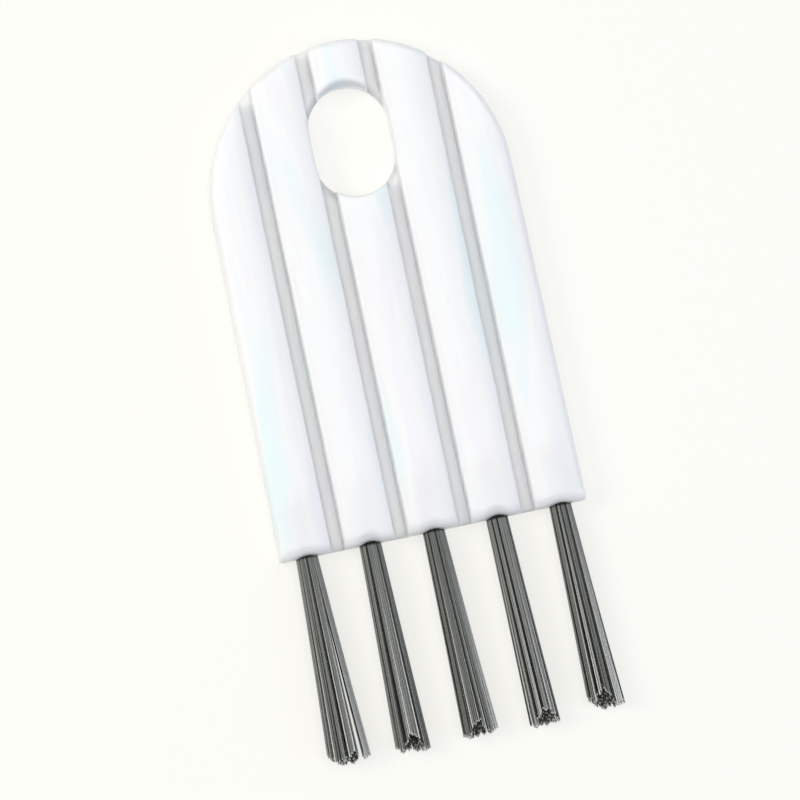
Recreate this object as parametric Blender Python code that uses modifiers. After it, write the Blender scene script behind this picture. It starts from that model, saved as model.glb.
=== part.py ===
"""Crevice brush: a moulded plate of five ribs with a bristle tuft anchored in the end of each rib.

The brush lies on its flat back on z = 0, ribs up. X runs across the ribs, and +Y runs from the
bristle tips to the hanging hole. The origin is under the middle of the whole brush. All lengths
are in metres.
"""

import math
import random

import bmesh
import bpy
from mathutils import Vector

OBJECT_NAME = "crevice_brush"

# The handle plate, seen from the front
RIB_COUNT = 5
RIB_WIDTH = 0.0069
GROOVE_WIDTH = 0.0021
PLATE_LENGTH = 0.0696
SIDE_FLARE = 0.0003
TOP_DRAW_IN = 0.00025
CORNER_RADIUS = 0.0006

# The plate's section: thickness at a rib's crown, and the web left under each groove
PLATE_THICKNESS = 0.0052
WEB_THICKNESS = 0.0012
CROWN_RISE = 0.0005
SHOULDER_RADIUS = 0.0006
ROOT_RADIUS = 0.0004
WALL_DRAFT = math.radians(4.0)

# Rounded edges round the plate
SIDE_RIM_RADIUS = 0.0012
END_RIM_RADIUS = 0.0018
BACK_EDGE = 0.0003

# The hanging hole, which spans the two grooves beside the middle rib
HANG_HOLE_LENGTH = 0.0156
HANG_HOLE_HEIGHT = 0.0553
HANG_HOLE_SIDE_CUT = 0.0001
HANG_HOLE_RIM_RADIUS = 0.0008

# The bristle tufts: the strands' widest fan, and the slanting, uneven cut at their tips
FIT_GAP = 0.0003
TUFT_DIAMETER = 0.0030
TUFT_FREE_LENGTH = 0.0304
TUFT_HOLE_DEPTH = 0.0080
TUFT_RECESS = 0.0006
STRAND_DIAMETER = 0.00026
STRAND_GAP = 0.000045
TIP_WIDTH = 0.0064
TIP_DEPTH = 0.0048
TIP_LEAN = 0.0008
CUT_SLANT = 0.0018
CUT_UNEVENNESS = 0.0007

# Each tuft's width, lean and length at its tips, from -X to +X, as shares of the sizes above
TIP_WIDTH_SHARES = (1.0, 0.83, 0.86, 0.72, 0.84)
TIP_LEAN_SHARES = (0.1, 0.1, 0.9, 1.0, 0.9)
TIP_LENGTH_SHARES = (0.98, 0.985, 0.98, 1.0, 0.97)

# A strand's stray from its even place, and how much of its spread it has half-way along
STRAY_SHARE = 0.2
BEND_SHARE = 0.45

# The flat wire anchors, each across the fold of its tuft
ANCHOR_WIDTH = 0.0027
ANCHOR_LENGTH = 0.0015
ANCHOR_THICKNESS = 0.0004
ANCHOR_EDGE = 0.0001
FOLD_LENGTH = 0.0009

# How finely round shapes are drawn
CROWN_STEPS = 4
FILLET_STEPS = 2
RIM_STEPS = 4
TOP_STEPS = 48
CORNER_STEPS = 2
HOLE_END_STEPS = 16
TUFT_SIDES = 24
STRAND_SIDES = 3
SMOOTH_ANGLE = math.radians(35.0)
WELD = 0.0000001

# Worked out from the sizes above
RIB_PITCH = RIB_WIDTH + GROOVE_WIDTH
RIB_CENTRES = tuple((index - (RIB_COUNT - 1) / 2) * RIB_PITCH for index in range(RIB_COUNT))
CROWN_RADIUS = ((RIB_WIDTH / 2) ** 2 + CROWN_RISE ** 2) / (2 * CROWN_RISE)
RIBBED_HALF_WIDTH = (RIB_COUNT * RIB_WIDTH + (RIB_COUNT - 1) * GROOVE_WIDTH) / 2
END_HALF_WIDTH = RIBBED_HALF_WIDTH + SIDE_FLARE
TOP_RADIUS = RIBBED_HALF_WIDTH - TOP_DRAW_IN
END_Y = (TUFT_FREE_LENGTH - PLATE_LENGTH) / 2
TOP_CENTRE_Y = END_Y + PLATE_LENGTH - TOP_RADIUS
SIDE_TAPER = math.atan2(END_HALF_WIDTH, TOP_CENTRE_Y - END_Y) - math.asin(
    TOP_RADIUS / math.hypot(END_HALF_WIDTH, TOP_CENTRE_Y - END_Y))
HANG_HOLE_Y = END_Y + HANG_HOLE_HEIGHT
HANG_HOLE_RADIUS = (RIB_PITCH + GROOVE_WIDTH) / 2 + HANG_HOLE_SIDE_CUT
TUFT_RADIUS = TUFT_DIAMETER / 2
TUFT_Z = PLATE_THICKNESS / 2
STRAND_PITCH = STRAND_DIAMETER + STRAND_GAP
ROOT_REACH = TUFT_RADIUS - STRAND_DIAMETER / 2
FOLD_Y = END_Y + TUFT_HOLE_DEPTH - FIT_GAP
ANCHOR_Y = FOLD_Y - FOLD_LENGTH - FIT_GAP - ANCHOR_LENGTH / 2


def clear_scene():
    """Removes every object, so that the script can be run again in an open file."""
    for item in list(bpy.data.objects):
        bpy.data.objects.remove(item, do_unlink=True)


def make_collection(name):
    """Returns a new collection in the scene."""
    collection = bpy.data.collections.new(name)
    bpy.context.scene.collection.children.link(collection)
    return collection


def make_material(name, colour, roughness, metallic=0.0):
    """Returns a Principled material."""
    material = bpy.data.materials.new(name)
    material.use_nodes = True
    shader = material.node_tree.nodes["Principled BSDF"]
    shader.inputs["Base Color"].default_value = (*colour, 1.0)
    shader.inputs["Roughness"].default_value = roughness
    shader.inputs["Metallic"].default_value = metallic
    return material


def make_object(name, bm, collection, material=None):
    """Turns a bmesh into a named object with outward faces, smooth where it is round."""
    bmesh.ops.recalc_face_normals(bm, faces=bm.faces)
    mesh = bpy.data.meshes.new(name)
    bm.to_mesh(mesh)
    bm.free()
    mesh.shade_smooth()
    mesh.set_sharp_from_angle(angle=SMOOTH_ANGLE)
    item = bpy.data.objects.new(name, mesh)
    collection.objects.link(item)
    if material:
        mesh.materials.append(material)
    return item


def make_block(name, collection, size, place, material=None):
    """Makes a box of the given size with its middle at the given place."""
    bm = bmesh.new()
    bmesh.ops.create_cube(bm, size=1)
    bmesh.ops.scale(bm, vec=size, verts=bm.verts)
    block = make_object(name, bm, collection, material)
    block.location = place
    return block


def cut(item, cutter):
    """Takes the cutter out of the item, and hides the cutter."""
    cutter.hide_render = True
    cutter.display_type = "WIRE"
    modifier = item.modifiers.new(cutter.name, "BOOLEAN")
    modifier.operation = "DIFFERENCE"
    modifier.solver = "EXACT"
    modifier.object = cutter


def arc(centre, radius, start, end, steps):
    """Returns the points of an arc from one angle to another, both ends included."""
    angles = [start + (end - start) * step / steps for step in range(steps + 1)]
    middle = Vector(centre)
    return [middle + Vector((math.cos(angle), math.sin(angle))) * radius for angle in angles]


# The handle plate


def plate_outline(side_inset, end_inset):
    """Returns the plate's outline, drawn in from its sides and from its bristle end.

    The loop starts at the middle of the bristle end and runs counter-clockwise. Its corners keep
    their radius, and its round top keeps its centre.
    """
    low = END_Y + end_inset
    side_x = END_HALF_WIDTH - end_inset * math.tan(SIDE_TAPER) - side_inset / math.cos(SIDE_TAPER)
    corner_x = side_x - CORNER_RADIUS * (math.tan(SIDE_TAPER) + 1 / math.cos(SIDE_TAPER))
    corner_place = (corner_x, low + CORNER_RADIUS)
    corner = arc(corner_place, CORNER_RADIUS, -math.pi / 2, SIDE_TAPER, CORNER_STEPS)
    top_place = (0, TOP_CENTRE_Y)
    top = arc(top_place, TOP_RADIUS - side_inset, SIDE_TAPER, math.pi - SIDE_TAPER, TOP_STEPS)
    mirrored = [Vector((-point.x, point.y)) for point in reversed(corner)]
    return [Vector((0, low)), *corner, *top, *mirrored]


def plate_rim_radii():
    """Returns the rim's radius at each outline point: the end's, eased to the sides' round a corner."""
    change = SIDE_RIM_RADIUS - END_RIM_RADIUS
    corner = [END_RIM_RADIUS + change * step / CORNER_STEPS for step in range(CORNER_STEPS + 1)]
    return [END_RIM_RADIUS, *corner, *[SIDE_RIM_RADIUS] * (TOP_STEPS + 1), *reversed(corner)]


def hang_hole_outline(offset):
    """Returns the hole's outline, grown by an offset, from its lowest point counter-clockwise."""
    radius = HANG_HOLE_RADIUS + offset
    reach = HANG_HOLE_LENGTH / 2 - HANG_HOLE_RADIUS
    low = (0, HANG_HOLE_Y - reach)
    high = (0, HANG_HOLE_Y + reach)
    right = arc(low, radius, -math.pi / 2, 0, HOLE_END_STEPS // 2)
    top = arc(high, radius, 0, math.pi, HOLE_END_STEPS)
    left = arc(low, radius, math.pi, math.pi * 3 / 2, HOLE_END_STEPS // 2)
    return right + top + left[:-1]


def add_loop(bm, points, heights):
    """Adds a closed loop of vertices at the given points and heights."""
    return [bm.verts.new((point.x, point.y, height)) for point, height in zip(points, heights)]


def join_loops(bm, loops):
    """Joins each loop of vertices to the next with a band of quads."""
    for lower, upper in zip(loops, loops[1:]):
        for index in range(len(lower)):
            bm.faces.new((lower[index - 1], lower[index], upper[index], upper[index - 1]))


def close_side(bm, outer, inner):
    """Fills the flat between the outline and the hole: two faces that meet on the middle line."""
    outer_apex = len(outer) // 2
    inner_apex = len(inner) // 2
    bm.faces.new(outer[:outer_apex + 1] + inner[inner_apex::-1])
    bm.faces.new(outer[outer_apex:] + [outer[0], inner[0]] + inner[:inner_apex - 1:-1])


def build_blank():
    """Returns the plate before its ribs: a lofted outline with a rounded front rim and the hole."""
    bm = bmesh.new()
    radii = plate_rim_radii()
    hole_radii = [HANG_HOLE_RIM_RADIUS] * len(hang_hole_outline(0))
    outer = []
    inner = []
    for inset, height in ((BACK_EDGE, 0), (0, BACK_EDGE)):
        outer.append(add_loop(bm, plate_outline(inset, inset), [height] * len(radii)))
        inner.append(add_loop(bm, hang_hole_outline(inset), [height] * len(hole_radii)))
    for step in range(RIM_STEPS + 1):
        angle = math.pi / 2 * step / RIM_STEPS
        inward = 1 - math.cos(angle)
        down = 1 - math.sin(angle)
        outline = plate_outline(SIDE_RIM_RADIUS * inward, END_RIM_RADIUS * inward)
        hole = hang_hole_outline(HANG_HOLE_RIM_RADIUS * inward)
        outer.append(add_loop(bm, outline, [PLATE_THICKNESS - radius * down for radius in radii]))
        inner.append(add_loop(bm, hole, [PLATE_THICKNESS - radius * down for radius in hole_radii]))
    join_loops(bm, outer)
    join_loops(bm, inner)
    close_side(bm, outer[0], inner[0])
    close_side(bm, outer[-1], inner[-1])
    return bm


def rib_half_section():
    """Returns half of a rib's section, from its crown to the web: distance from its middle, height."""
    crown_z = PLATE_THICKNESS - CROWN_RADIUS
    shoulder_x = RIB_WIDTH / 2 - SHOULDER_RADIUS * math.cos(WALL_DRAFT)
    lean = math.asin(shoulder_x / (CROWN_RADIUS - SHOULDER_RADIUS))
    shoulder_z = crown_z + (CROWN_RADIUS - SHOULDER_RADIUS) * math.cos(lean)
    up = math.pi / 2
    crown = arc((0, crown_z), CROWN_RADIUS, up, up - lean, CROWN_STEPS)
    shoulder = arc((shoulder_x, shoulder_z), SHOULDER_RADIUS, up - lean, WALL_DRAFT, FILLET_STEPS)
    wall_top = shoulder[-1]
    root_z = WEB_THICKNESS + ROOT_RADIUS
    wall = (wall_top.y + ROOT_RADIUS * math.sin(WALL_DRAFT) - root_z) / math.cos(WALL_DRAFT)
    root_x = wall_top.x + wall * math.sin(WALL_DRAFT) + ROOT_RADIUS * math.cos(WALL_DRAFT)
    root = arc((root_x, root_z), ROOT_RADIUS, math.pi + WALL_DRAFT, math.pi * 3 / 2, FILLET_STEPS)
    return crown + shoulder[1:] + root


def plate_section():
    """Returns the corners of the plate's section in order along X.

    Beyond the middle of the outermost ribs there is no groove, and the crown runs on to the side.
    """
    half = rib_half_section()
    outermost = RIB_CENTRES[-1]
    section = []
    for centre in RIB_CENTRES:
        section += [(centre - point.x, point.y) for point in reversed(half[1:])]
        section += [(centre + point.x, point.y) for point in half]
    section = [corner for corner in section if abs(corner[0]) <= outermost]
    for step in range(1, CROWN_STEPS + 2):
        away = (END_HALF_WIDTH - outermost) * step / CROWN_STEPS
        height = PLATE_THICKNESS - CROWN_RADIUS + math.sqrt(CROWN_RADIUS ** 2 - away ** 2)
        section.append((outermost + away, height))
        section.insert(0, (-outermost - away, height))
    return section


def height_at(section, x):
    """Returns the section's height at x, which runs straight between its corners."""
    for (x0, z0), (x1, z1) in zip(section, section[1:]):
        if x0 <= x <= x1:
            return z0 + (z1 - z0) * (x - x0) / (x1 - x0)
    return section[-1][1]


def build_handle(collection, cutters, material):
    """Builds the ribbed plate: the blank is cut at each corner of the section and lowered to it."""
    bm = build_blank()
    section = plate_section()
    for x, _ in section:
        everything = bm.verts[:] + bm.edges[:] + bm.faces[:]
        bmesh.ops.bisect_plane(bm, geom=everything, dist=WELD, plane_co=(x, 0, 0), plane_no=(1, 0, 0))
    for vert in bm.verts:
        if vert.co.z > PLATE_THICKNESS / 2:
            vert.co.z *= height_at(section, vert.co.x) / PLATE_THICKNESS
    bmesh.ops.triangulate(bm, faces=bm.faces)
    handle = make_object("handle", bm, collection, material)
    for index in range(RIB_COUNT):
        cut(handle, build_tuft_hole_cutter(index, cutters))


def build_tuft_hole_cutter(index, cutters):
    """Builds the cutter of one blind tuft hole, which reaches as far out of the rib as into it."""
    bm = bmesh.new()
    bmesh.ops.create_cone(
        bm,
        cap_ends=True,
        segments=TUFT_SIDES,
        radius1=TUFT_RADIUS + FIT_GAP,
        radius2=TUFT_RADIUS + FIT_GAP,
        depth=TUFT_HOLE_DEPTH * 2,
    )
    cutter = make_object(f"tuft_hole_{index + 1}", bm, cutters)
    cutter.rotation_euler.x = math.pi / 2
    cutter.location = (RIB_CENTRES[index], END_Y, TUFT_Z)
    return cutter


# The bristle tufts and their anchors


def strand_roots():
    """Returns the strands' places in a tuft's root: a triangular grid that fills a disc."""
    row_height = STRAND_PITCH * math.sqrt(3) / 2
    rows = math.ceil(ROOT_REACH / row_height)
    columns = math.ceil(ROOT_REACH / STRAND_PITCH) + 1
    roots = []
    for row in range(-rows, rows + 1):
        for column in range(-columns, columns + 1):
            place = Vector(((column + row % 2 / 2) * STRAND_PITCH, row * row_height))
            if place.length <= ROOT_REACH:
                roots.append(place)
    return roots


def strand_tips(index, roots, chance):
    """Returns where a tuft's strands end, from the tuft's place in the plate's end face.

    The tuft opens into an oval, leans a little, and is cut longer at its lower side.
    """
    width = TIP_WIDTH * TIP_WIDTH_SHARES[index % len(TIP_WIDTH_SHARES)]
    lean = TIP_LEAN * TIP_LEAN_SHARES[index % len(TIP_LEAN_SHARES)]
    length = TUFT_FREE_LENGTH * TIP_LENGTH_SHARES[index % len(TIP_LENGTH_SHARES)]
    stray = STRAND_PITCH * STRAY_SHARE
    wider = ((width - STRAND_DIAMETER) / 2 - stray) / max(root.x for root in roots)
    deeper = ((TIP_DEPTH - STRAND_DIAMETER) / 2 - stray) / max(root.y for root in roots)
    tips = []
    for root in roots:
        across = lean + root.x * wider + chance.uniform(-stray, stray)
        up = root.y * deeper + chance.uniform(-stray, stray)
        shorter = CUT_SLANT * up / TIP_DEPTH + chance.uniform(0, CUT_UNEVENNESS)
        tips.append(Vector((across, shorter, up)))
    longest = min(tip.y for tip in tips)
    return [Vector((tip.x, tip.y - longest - length, tip.z)) for tip in tips]


def extend(bm, edges, place):
    """Extrudes a loop of edges, puts each new vertex where the function says, returns the new loop."""
    made = bmesh.ops.extrude_edge_only(bm, edges=edges)["geom"]
    for item in made:
        if isinstance(item, bmesh.types.BMVert):
            item.co = place(item.co)
    return [item for item in made if isinstance(item, bmesh.types.BMEdge) and item.is_boundary]


def shift(offset):
    """Returns a function that moves a place by an offset."""
    return lambda place: place + offset


def draw_in(axis, ratio, level):
    """Returns a function that draws a place towards the tuft's axis and sets its place along Y."""
    return lambda place: Vector((
        axis.x + (place.x - axis.x) * ratio,
        level,
        axis.z + (place.z - axis.z) * ratio,
    ))


def add_ring(bm, centre, points):
    """Adds a closed loop of edges across the tuft's axis, and returns its edges."""
    verts = [bm.verts.new((centre.x + point.x, centre.y, centre.z + point.y)) for point in points]
    return [bm.edges.new((verts[index - 1], verts[index])) for index in range(len(verts))]


def build_folded_root(bm, rim, centre):
    """Extends the tuft's slice into the hole, to the rounded fold of its strands."""
    fold_radius = min(FOLD_LENGTH, TUFT_RADIUS)
    profile = arc((TUFT_RADIUS - fold_radius, FOLD_Y - fold_radius), fold_radius, 0, math.pi / 2, RIM_STEPS)
    radius = TUFT_RADIUS
    for point in profile[:-1]:
        rim = extend(bm, rim, draw_in(centre, point.x / radius, point.y))
        radius = point.x
    bmesh.ops.edgeloop_fill(bm, edges=rim)


def build_tuft(index, collection, cutters, material):
    """Builds one tuft: strands that fan out of a slice of their own folded root."""
    chance = random.Random(index + 1)
    mouth = Vector((RIB_CENTRES[index], END_Y, TUFT_Z))
    centre = mouth + Vector((0, TUFT_RECESS, 0))
    roots = strand_roots()
    tips = strand_tips(index, roots, chance)
    bm = bmesh.new()
    rim = add_ring(bm, centre, arc((0, 0), TUFT_RADIUS, 0, math.tau, TUFT_SIDES)[:-1])
    bases = []
    for root in roots:
        turn = chance.uniform(0, math.tau)
        corners = arc(root, STRAND_DIAMETER / 2, turn, turn + math.tau, STRAND_SIDES)
        bases.append(add_ring(bm, centre, corners[:-1]))
    bmesh.ops.triangle_fill(bm, edges=rim + [edge for base in bases for edge in base], use_beauty=True)
    for root, tip, base in zip(roots, tips, bases):
        start = Vector((root.x, TUFT_RECESS, root.y))
        bend = Vector((
            (tip.x - start.x) * BEND_SHARE,
            (tip.y - start.y) / 2,
            (tip.z - start.z) * BEND_SHARE,
        ))
        middle = extend(bm, base, shift(bend))
        end = extend(bm, middle, shift(tip - start - bend))
        bmesh.ops.edgeloop_fill(bm, edges=end)
    build_folded_root(bm, rim, centre)
    tuft = make_object(f"tuft_{index + 1}", bm, collection, material)
    slot_size = (
        TUFT_DIAMETER + FIT_GAP * 2,
        ANCHOR_LENGTH + FIT_GAP * 2,
        ANCHOR_THICKNESS + FIT_GAP * 2,
    )
    cut(tuft, make_block(f"anchor_slot_{index + 1}", cutters, slot_size, (mouth.x, ANCHOR_Y, mouth.z)))


def build_anchor(index, collection, material):
    """Builds the flat wire anchor that lies across the fold of a tuft."""
    size = (ANCHOR_WIDTH, ANCHOR_LENGTH, ANCHOR_THICKNESS)
    place = (RIB_CENTRES[index], ANCHOR_Y, TUFT_Z)
    anchor = make_block(f"anchor_{index + 1}", collection, size, place, material)
    rounding = anchor.modifiers.new("rolled_edges", "BEVEL")
    rounding.width = ANCHOR_EDGE
    rounding.segments = 1


def main():
    """Builds the whole brush."""
    clear_scene()
    parts = make_collection(OBJECT_NAME)
    cutters = make_collection("cutters")
    build_handle(parts, cutters, make_material("white_polypropylene", (0.86, 0.87, 0.88), 0.35))
    for index in range(RIB_COUNT):
        nylon = make_material(f"grey_nylon_{index + 1}", (0.13, 0.13, 0.125), 0.45)
        wire = make_material(f"flat_steel_wire_{index + 1}", (0.55, 0.54, 0.52), 0.3, metallic=1.0)
        build_tuft(index, parts, cutters, nylon)
        build_anchor(index, parts, wire)


main()
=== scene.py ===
"""Looks of a crevice brush: the ribbed plate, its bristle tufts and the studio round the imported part.

All lengths are in metres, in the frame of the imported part: X runs across the ribs, +Y from the
bristle tips to the hanging hole, and +Z up out of the ribbed front. The brush lies on z = 0.
"""

import logging
import random
from collections.abc import Callable
from dataclasses import dataclass
from enum import Enum
from functools import partial
from math import asin, atan2, ceil, cos, hypot, pi, radians, sin, sqrt, tan, tau

import bmesh
import bpy
from bmesh.types import BMEdge, BMesh, BMLayerItem, BMVert
from bpy.types import Material, Node, NodeSocket, NodeTree, Object
from mathutils import Matrix, Quaternion, Vector


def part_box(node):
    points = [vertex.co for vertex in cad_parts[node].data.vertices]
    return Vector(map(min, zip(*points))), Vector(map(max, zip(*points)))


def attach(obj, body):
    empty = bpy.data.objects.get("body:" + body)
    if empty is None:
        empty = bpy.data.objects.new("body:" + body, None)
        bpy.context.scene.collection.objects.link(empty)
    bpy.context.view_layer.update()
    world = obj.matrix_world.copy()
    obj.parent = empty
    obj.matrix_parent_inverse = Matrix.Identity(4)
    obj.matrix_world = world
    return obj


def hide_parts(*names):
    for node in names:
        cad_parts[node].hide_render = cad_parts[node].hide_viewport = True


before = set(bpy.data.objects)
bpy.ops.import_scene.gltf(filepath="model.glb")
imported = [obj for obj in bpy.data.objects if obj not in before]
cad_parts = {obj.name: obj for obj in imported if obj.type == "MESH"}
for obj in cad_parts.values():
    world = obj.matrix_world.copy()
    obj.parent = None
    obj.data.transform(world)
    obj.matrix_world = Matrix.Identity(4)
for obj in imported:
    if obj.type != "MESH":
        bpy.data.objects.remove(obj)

MM = 0.001
QUARTER_TURN = pi / 2
# The rows of a close packing stand this share of their pitch apart.
ROW_RISE = sqrt(3) / 2
# Lengths and shares below this count as nothing.
LEAST = 1e-7
# Places across the plate that agree to this many digits get one height.
PLACE_DIGITS = 8
BODY = "root"

AddNode = Callable[[str, dict[str | int, object]], Node]
FromRim = Callable[[float], float]

log = logging.getLogger("crevice_brush")


def linear(hex_colour: str) -> tuple[float, float, float, float]:
    """Turns an sRGB hex colour into the linear one that the shaders take.

    Args:
        hex_colour: The colour as "#RRGGBB".

    Returns:
        Linear red, green, blue and an alpha of 1.
    """
    shares = [int(hex_colour[start:start + 2], 16) / 255 for start in (1, 3, 5)]
    red, green, blue = (
        share / 12.92 if share <= 0.04045 else ((share + 0.055) / 1.055) ** 2.4 for share in shares
    )
    return red, green, blue, 1.0


def add_node(tree: NodeTree, kind: str, inputs: dict[str | int, object]) -> Node:
    """Adds a node with its settings and its links.

    Args:
        tree: The node tree that takes the node.
        kind: The node's type name without its "ShaderNode", such as "TexNoise".
        inputs: What its inputs and properties get, by name or number: a value, a socket, or a node,
            which stands for its first output. "stops" are a colour ramp's places and hex colours.

    Returns:
        The new node.
    """
    node = tree.nodes.new(f"ShaderNode{kind}")
    for name, value in inputs.items():
        source = value.outputs[0] if isinstance(value, Node) else value
        if isinstance(source, NodeSocket):
            tree.links.new(source, node.inputs[name])
        elif name == "stops":
            ramp = node.color_ramp
            for position, _ in value[1:-1]:
                ramp.elements.new(position)
            for element, (position, colour) in zip(ramp.elements, value):
                element.position = position
                element.color = linear(colour)
        elif isinstance(name, int) or name in node.inputs:
            node.inputs[name].default_value = value
        else:
            setattr(node, name, value)
    return node


def new_material(name: str) -> tuple[Material, AddNode]:
    """Starts a material with an empty node tree.

    Args:
        name: The material's name.

    Returns:
        The material, and add_node for its tree.
    """
    material = bpy.data.materials.new(name)
    material.use_nodes = True
    material.node_tree.nodes.clear()
    return material, partial(add_node, material.node_tree)


class Strand(Enum):
    """The attributes that a bristle carries for its material."""

    TONE = "tone"
    CUT = "cut"


@dataclass(frozen=True)
class Grain:
    """A soft irregular pattern, by the real size of its marks along X, Y and Z, turned about Z."""

    size: tuple[float, float, float]
    detail: float = 2.0
    roughness: float = 0.5
    turn: float = 0.0

    def draw(self, add: AddNode, place: NodeSocket) -> Node:
        """Adds the pattern to a material.

        Args:
            add: The material's add_node.
            place: The place on the piece, in Object coordinates.

        Returns:
            The node whose first output is the pattern, from 0 to 1.
        """
        stretched = add("Mapping", {
            "Vector": place,
            "Rotation": (0.0, 0.0, self.turn),
            "Scale": [1 / length for length in self.size],
        })
        return add("TexNoise", {
            "Vector": stretched, "Scale": 1.0, "Detail": self.detail, "Roughness": self.roughness})


@dataclass(frozen=True)
class MouldedPolypropylene:
    """White polypropylene, injection-moulded in a satin-polished mould.

    It gives the eye a milky, faintly cool white with soft gloss. The skin has a fine orange peel, the
    melt's flow leaves faint lengthwise streaks in the gloss, and handling leaves hair scuffs. Slow
    clouds of cooler and more lilac white run along the ribs. Grey is painted as shade on the webs next
    to the hole and on the top of the hole's rim, where its faces lean down the brush.
    """

    name: str = "white_polypropylene_injection_moulded"
    colour: str = "#F9F9F8"
    cool_cloud: str = "#EBF6FB"
    lilac_cloud: str = "#F4F2F9"
    cloud_stops: tuple[float, float, float] = (0.3, 0.48, 0.68)
    groove: str = "#FAFAFA"
    # Grey painted as shade on the webs near the hole and on the top of the hole's rim.
    painted_shade_grey: str = "#BCBCBB"
    roughness: float = 0.3
    flow_roughness: float = 0.07
    scuff_roughness: float = 0.08
    scuff_range: tuple[float, float] = (0.62, 0.78)
    ior: float = 1.49
    glow: float = 1.0
    glow_depth: float = 1.6 * MM
    # As far in red as in green and blue, so that the glow stays white.
    glow_spread: tuple[float, float, float] = (1.0, 1.0, 1.0)
    clouds: Grain = Grain((3.6 * MM, 26 * MM, 3.6 * MM), roughness=0.4)
    flow: Grain = Grain((0.8 * MM, 14 * MM, 0.8 * MM), detail=3.0, roughness=0.6)
    # Real hair scuffs are about 0.03 mm wide, and orange peel is about 0.2 mm apart. Both are drawn
    # coarser, so that they show in the render.
    scuffs: Grain = Grain((0.14 * MM, 7 * MM, 7 * MM), turn=radians(24))
    peel: Grain = Grain((0.55 * MM, 0.55 * MM, 0.55 * MM), detail=3.0, roughness=0.55)
    peel_height: float = 0.0035 * MM
    web_level: float = 1.2 * MM
    web_band: float = 0.35 * MM
    # Painted shade lies in an oval round the hole, at any height, and fades towards its edge.
    hole_middle: tuple[float, float, float] = (0.0, 35.8 * MM, 1.2 * MM)
    hole_surround: tuple[float, float, float] = (7.4 * MM, 9.5 * MM, 1.0)
    surround_edge: float = 0.19
    # A face whose normal leans this much down the brush gets the most painted shade.
    shade_slope: float = 0.55
    most_shade: float = 0.9

    def make(self) -> Material:
        """Builds the material.

        Returns:
            The plate's material.
        """
        material, add = new_material(self.name)
        coordinates = add("TexCoord", {})
        place = coordinates.outputs["Object"]
        facing = add("SeparateXYZ", {"Vector": coordinates.outputs["Normal"]})
        clouds = (self.lilac_cloud, self.colour, self.cool_cloud)
        tint = add("ValToRGB", {
            "Fac": self.clouds.draw(add, place), "stops": list(zip(self.cloud_stops, clouds))})
        on_web = add("Math", {
            "operation": "COMPARE",
            0: add("SeparateXYZ", {"Vector": place}).outputs["Z"],
            1: self.web_level,
            2: self.web_band,
        })
        from_hole = add("Mapping", {
            "vector_type": "TEXTURE",
            "Vector": place,
            "Location": self.hole_middle,
            "Scale": self.hole_surround,
        })
        halo = add("TexGradient", {"gradient_type": "SPHERICAL", "Vector": from_hole})
        near_hole = add("MapRange", {
            "interpolation_type": "SMOOTHSTEP",
            "Value": halo.outputs["Fac"],
            "From Max": self.surround_edge,
        })
        # Painted shade near the hole, strongest on faces that look up; on the webs it is mixed in as grey.
        shade_near_hole = add("Math", {
            "operation": "MULTIPLY", "use_clamp": True, 0: near_hole, 1: facing.outputs["Z"]})
        web = add("MixRGB", {
            "Fac": shade_near_hole, "Color1": linear(self.groove), "Color2": linear(self.painted_shade_grey)})
        web_shaded = add("MixRGB", {"Fac": on_web, "Color1": tint, "Color2": web})
        # Painted shade on faces near the hole that lean down the brush, as on the top of the hole's rim.
        down_facing_shade = add("MapRange", {
            "Value": facing.outputs["Y"],
            "From Max": -self.shade_slope,
            "To Max": self.most_shade,
        })
        hole_top_shade = add("Math", {"operation": "MULTIPLY", 0: shade_near_hole, 1: down_facing_shade})
        shaded_base = add("MixRGB", {"Fac": hole_top_shade, "Color1": web_shaded, "Color2": linear(self.painted_shade_grey)})
        flowed = add("MapRange", {
            "Value": self.flow.draw(add, place),
            "To Min": self.roughness - self.flow_roughness,
            "To Max": self.roughness + self.flow_roughness,
        })
        scuffed = add("MapRange", {
            "Value": self.scuffs.draw(add, place),
            "From Min": self.scuff_range[0],
            "From Max": self.scuff_range[1],
            "To Max": self.scuff_roughness,
        })
        shader = add("BsdfPrincipled", {
            "Base Color": shaded_base,
            "Roughness": add("Math", {"operation": "ADD", 0: flowed, 1: scuffed}),
            "Normal": add("Bump", {"Height": self.peel.draw(add, place), "Distance": self.peel_height}),
            "IOR": self.ior,
            "Subsurface Weight": self.glow,
            "Subsurface Radius": self.glow_spread,
            "Subsurface Scale": self.glow_depth,
        })
        add("OutputMaterial", {"Surface": shader})
        return material


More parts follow.
